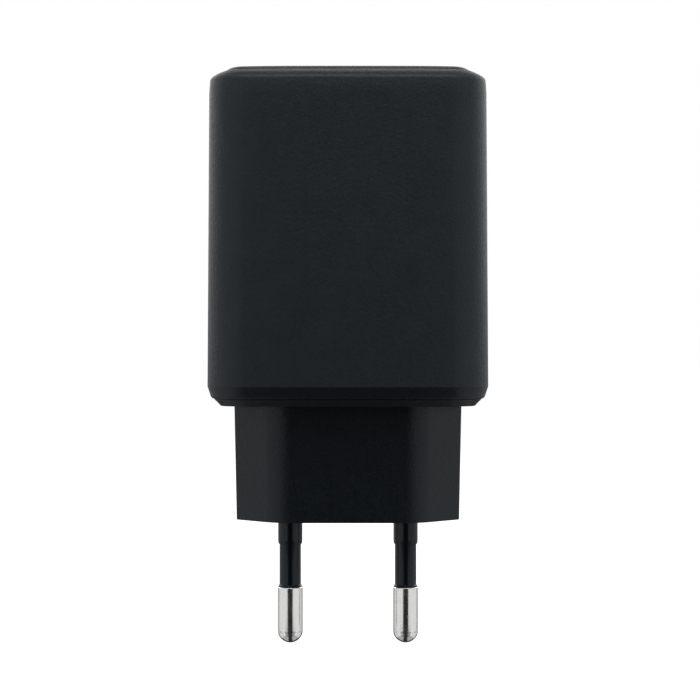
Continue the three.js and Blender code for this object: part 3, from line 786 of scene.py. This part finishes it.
def make_tongue_c():
    """The oval socket's thin tongue on its rounded base block."""
    low, high = box_mm("usb_c_tongue")
    middle = PORTS["c"]["middle"]
    width, depth, corner = 6.7, 0.7, 0.345
    bm = bmesh.new()
    tongue = rounded_path([
        (0, high.z - 5.6, 0),
        (0, high.z, 0.2),
        (0.32, high.z, 0),
    ], steps=4)
    rings = []
    for inset, height in tongue:
        outline = rounded_rectangle(width - 2 * inset, depth - 2 * inset, corner - inset, 6)
        rings.append([(middle.x + x, middle.y + y, height) for x, y in outline])
    add_loft(bm, rings)
    piece = finish_mesh("socket_c_tongue", bm)
    block = bmesh.new()
    rings = []
    for height in (low.z, high.z - 5.2):
        outline = rounded_rectangle(high.x - low.x, high.y - low.y, 1.0, 8)
        rings.append([(middle.x + x, middle.y + y, height) for x, y in outline])
    add_loft(block, rings)
    boolean(piece, finish_mesh("block", block), "UNION")
    dress(piece, "black_nylon", "usb_c_tongue")


def make_contacts_c():
    """Both rows of fine contacts on the oval socket's tongue."""
    low, high = box_mm("usb_c_contacts")
    middle = PORTS["c"]["middle"]
    bm = bmesh.new()
    count, pitch, half_width = 12, 0.5, 0.12
    for side in (-1, 1):
        for i in range(count):
            x = middle.x + (i - (count - 1) / 2) * pitch
            near, far = sorted((middle.y + side * 0.33, middle.y + side * 0.42))
            add_box(bm, (x - half_width, near, low.z), (x + half_width, far, high.z))
    dress(finish_mesh("socket_c_contacts", bm), "gold", "usb_c_contacts")


make_shell()
make_port_panel()
make_plug_base()
for side in ("left", "right"):
    make_pin(side)
    make_pin_sleeve(side)
for key in PORTS:
    make_socket_shell(key)
make_leaf_springs()
make_tongue_a()
for index in range(1, 5):
    make_contact_a(index)
make_tongue_c()
make_contacts_c()

# ---- inner parts: the CAD solids keep their shape and take a finished material ----
for subpart in frame["record"]["subparts"]:
    node = frame["nodes"][subpart["node"]]
    if not node.hide_render:
        node.data.materials.clear()
        node.data.materials.append(MATERIALS[subpart["material_slot"]])

# ---- floor, light and camera ----
FLOOR_BELOW = 0.02
LIGHT_DISTANCE = 500
WHITE = (1.0, 1.0, 1.0, 1.0)


def make_floor():
    """Seamless paper: nearly white to the lens, with a soft shadow, and only a weak bounce."""
    material, nodes, links, shader = new_material("pale_floor")
    shader.inputs["Base Color"].default_value = (0.2, 0.2, 0.2, 1)
    shader.inputs["Roughness"].default_value = 0.9
    glow = nodes.new("ShaderNodeEmission")
    glow.inputs["Color"].default_value = WHITE
    paper = nodes.new("ShaderNodeAddShader")
    path = nodes.new("ShaderNodeLightPath")
    mix = nodes.new("ShaderNodeMixShader")
    links.new(shader.outputs["BSDF"], paper.inputs[0])
    links.new(glow.outputs["Emission"], paper.inputs[1])
    links.new(path.outputs["Is Camera Ray"], mix.inputs["Fac"])
    links.new(shader.outputs["BSDF"], mix.inputs[1])
    links.new(paper.outputs["Shader"], mix.inputs[2])
    links.new(mix.outputs["Shader"], nodes["Material Output"].inputs["Surface"])
    bm = bmesh.new()
    height = cad_bounds[0].z / MM - FLOOR_BELOW
    size = 3000
    corners = [(-size, -size), (size, -size), (size, size), (-size, size)]
    bm.faces.new([bm.verts.new((x, y, height)) for x, y in corners])
    floor = finish_mesh("floor", bm)
    floor.data.materials.append(material)
    floor.visible_glossy = False
    floor.visible_shadow = False


def add_softbox(name, azimuth, elevation, width, height, radiance, distance=LIGHT_DISTANCE):
    """A rectangular softbox aimed at the charger. Azimuth 0 stands where the camera stands."""
    light = bpy.data.lights.new(name, "AREA")
    light.shape = "RECTANGLE"
    light.size, light.size_y = width * MM, height * MM
    light.energy = math.pi * light.size * light.size_y * radiance
    lamp = bpy.data.objects.new(name, light)
    bpy.context.scene.collection.objects.link(lamp)
    a, e = math.radians(azimuth), math.radians(elevation)
    away = Vector((math.sin(a) * math.cos(e), -math.cos(a) * math.cos(e), math.sin(e)))
    target = (cad_bounds[0] + cad_bounds[1]) / 2
    lamp.location = target + away * distance * MM
    lamp.rotation_mode = "QUATERNION"
    lamp.rotation_quaternion = away.to_track_quat("Z", "Y")
    lamp.visible_camera = False


def make_lights():
    """Tall softboxes either side, a canopy above and a dark gap where the lens looks in."""
    for side, tag in ((-1, "left"), (1, "right")):
        add_softbox(f"{tag}_low", side * 67, -8.5, 930, 205, 0.72)
        add_softbox(f"{tag}_high", side * 64, 19.5, 1000, 296, 0.575)
        add_softbox(f"{tag}_rearlow", side * 137, -8.5, 520, 205, 0.45)
        add_softbox(f"{tag}_rearhigh", side * 137, 19.5, 520, 296, 1.6)
        add_softbox(f"{tag}_canopy", side * 75, 52, 830, 300, 0.74)
        add_softbox(f"{tag}_table", side * 95, -36, 700, 260, 0.65)
        add_softbox(f"{tag}_corner", side * 44, -36, 300, 260, 0.3)
        add_softbox(f"{tag}_under", side * 95, -65, 500, 250, 0.38)
    add_softbox("front_canopy", 0, 52, 283, 300, 1.25)
    add_softbox("overhead", 0, 70, 400, 230, 2.1, 420)
    add_softbox("back", 180, 35, 640, 440, 1.35)


def make_world():
    world = bpy.data.worlds.new("studio")
    world.use_nodes = True
    nodes, links = world.node_tree.nodes, world.node_tree.links
    ambient = nodes["Background"]
    ambient.inputs["Color"].default_value = WHITE
    ambient.inputs["Strength"].default_value = 0.02
    seen = nodes.new("ShaderNodeBackground")
    seen.inputs["Color"].default_value = WHITE
    seen.inputs["Strength"].default_value = 1.0
    path = nodes.new("ShaderNodeLightPath")
    mix = nodes.new("ShaderNodeMixShader")
    links.new(path.outputs["Is Camera Ray"], mix.inputs["Fac"])
    links.new(ambient.outputs["Background"], mix.inputs[1])
    links.new(seen.outputs["Background"], mix.inputs[2])
    links.new(mix.outputs["Shader"], nodes["World Output"].inputs["Surface"])
    bpy.context.scene.world = world


def make_camera():
    """Level with the middle of the charger, straight in front of its broad face."""
    distance, view_width, sensor = 280.0, 111.1, 36.0
    aside, level = 0.33, 26.83
    lens = bpy.data.cameras.new("camera")
    lens.sensor_width = sensor
    lens.lens = sensor * distance / view_width
    lens.clip_start, lens.clip_end = 0.01, 20
    camera = bpy.data.objects.new("camera", lens)
    bpy.context.scene.collection.objects.link(camera)
    camera.location = (aside * MM, -distance * MM, level * MM)
    camera.rotation_euler = (math.radians(90), 0, 0)
    bpy.context.scene.camera = camera


make_floor()
make_world()
make_camera()
make_lights()
bpy.context.scene.view_settings.view_transform = "Standard"
